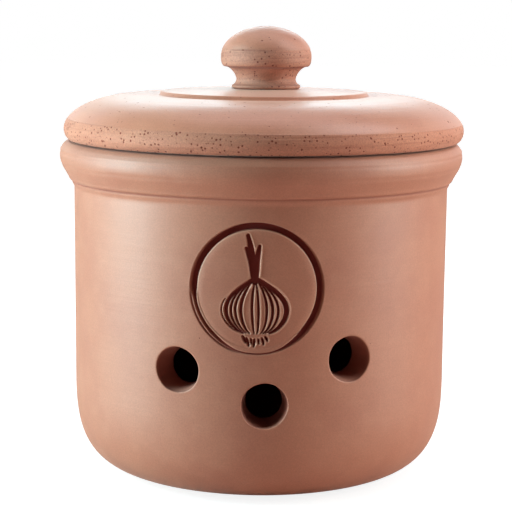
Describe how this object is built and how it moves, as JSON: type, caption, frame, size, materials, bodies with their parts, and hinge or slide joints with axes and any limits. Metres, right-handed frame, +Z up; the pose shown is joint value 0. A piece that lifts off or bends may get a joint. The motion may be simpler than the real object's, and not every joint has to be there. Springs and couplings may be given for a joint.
{
  "type": "onion pot",
  "caption": "Unglazed terracotta onion keeper: a round pot with a collar, vent holes and a pressed stamp, and a loose domed lid with a ball knob.",
  "frame": {"origin": "centre of the pot's foot, on the surface that it stands on", "axes": "+Z up along the pot's axis, -Y to the front with the stamp and the vent holes, +X to the right seen from the front"},
  "size_m": [0.2084, 0.208, 0.2284],
  "materials": {
    "terracotta": "unglazed, satin"
  },
  "bodies": {
    "pot": {"pot": "terracotta"},
    "lid": {"lid": "terracotta", "knob": "terracotta"}
  },
  "joints": [
    {"name": "lid_lift", "type": "slide", "parent": "pot", "child": "lid", "axis": [0, 0, 1], "range_m": [0, 0.12]}
  ]
}
